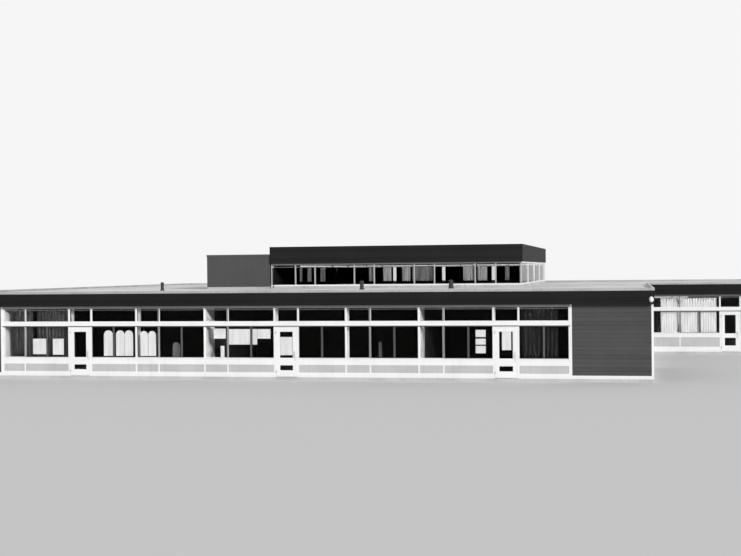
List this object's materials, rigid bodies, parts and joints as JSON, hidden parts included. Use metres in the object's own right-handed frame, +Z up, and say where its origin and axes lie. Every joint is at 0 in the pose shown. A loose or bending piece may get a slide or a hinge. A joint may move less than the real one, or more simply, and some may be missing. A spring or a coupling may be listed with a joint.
{
  "type": "school building",
  "caption": "Single-storey system-built school: glazed classroom front with hinged doors, raised clerestory hall, set-back wing and flat roofs.",
  "frame": {"origin": "on the ground under the middle of the plan", "axes": "+X along the front to the right as seen from the playground, +Y back through the building, +Z up"},
  "size_m": [38.0784, 33.394, 5.77],
  "materials": {
    "concrete": "trowelled concrete",
    "white_joinery": "white gloss paint on timber",
    "spandrel": "light grey painted panel",
    "casement": "dark grey paint",
    "glass": "clear glass",
    "hardware": "satin",
    "dark_boarding": "stained boarding",
    "plaster": "emulsion",
    "column_paint": "white paint",
    "roof_chippings": "pale mineral chippings",
    "fascia": "near-black stain",
    "kerb_trim": "mill finish",
    "vent_metal": "weathered",
    "lamp": "white enamel and opal glass",
    "curtain_cloth": "plain unlined cotton",
    "paper": "uncoated paper sheet"
  },
  "bodies": {
    "building": {"floor_slab": "concrete", "upper_frames": "white_joinery", "lower_frames": "white_joinery", "side_frames": "white_joinery", "spandrel_panels": "spandrel", "casement_bars": "casement", "window_glass": "glass", "door_linings": "white_joinery", "hinge_pins": "hardware", "boarded_walls": "dark_boarding", "boarding_base_rails": "white_joinery", "corner_posts": "white_joinery", "classroom_back_wall": "plaster", "cross_walls": "plaster", "steel_columns": "column_paint", "hall_beams_long": "plaster", "hall_beams_side": "plaster", "roof_front_rear": "roof_chippings", "roof_left_right": "roof_chippings", "roof_wing": "roof_chippings", "fascia_long": "fascia", "fascia_ends": "fascia", "kerb_long": "kerb_trim", "kerb_ends": "kerb_trim", "hall_frames_long": "white_joinery", "hall_frames_side": "white_joinery", "hall_glass": "glass", "hall_fascia_long": "fascia", "hall_fascia_ends": "fascia", "hall_roof": "roof_chippings", "plant_room": "dark_boarding", "vent_pipes": "vent_metal", "corner_lamp": "lamp"},
    "door_left": {"door_left_leaf": "white_joinery", "door_left_glass": "glass", "door_left_furniture": "hardware"},
    "door_middle": {"door_middle_leaf": "white_joinery", "door_middle_glass": "glass", "door_middle_furniture": "hardware"},
    "door_right": {"door_right_leaf": "white_joinery", "door_right_glass": "glass", "door_right_furniture": "hardware"},
    "door_wing": {"door_wing_leaf": "white_joinery", "door_wing_glass": "glass", "door_wing_furniture": "hardware"}
  },
  "joints": [
    {"name": "door_left_hinge", "type": "hinge", "parent": "building", "child": "door_left", "pos_m": [-12.5917, -16.392, 0.125], "axis": [0, 0, -1], "range_deg": [0, 100]},
    {"name": "door_middle_hinge", "type": "hinge", "parent": "building", "child": "door_middle", "pos_m": [-3.4477, -16.392, 0.125], "axis": [0, 0, -1], "range_deg": [0, 100]},
    {"name": "door_right_hinge", "type": "hinge", "parent": "building", "child": "door_right", "pos_m": [5.6963, -16.392, 0.125], "axis": [0, 0, -1], "range_deg": [0, 100]},
    {"name": "door_wing_hinge", "type": "hinge", "parent": "building", "child": "door_wing", "pos_m": [15.7547, 1.134, 0.125], "axis": [0, 0, -1], "range_deg": [0, 100]}
  ]
}
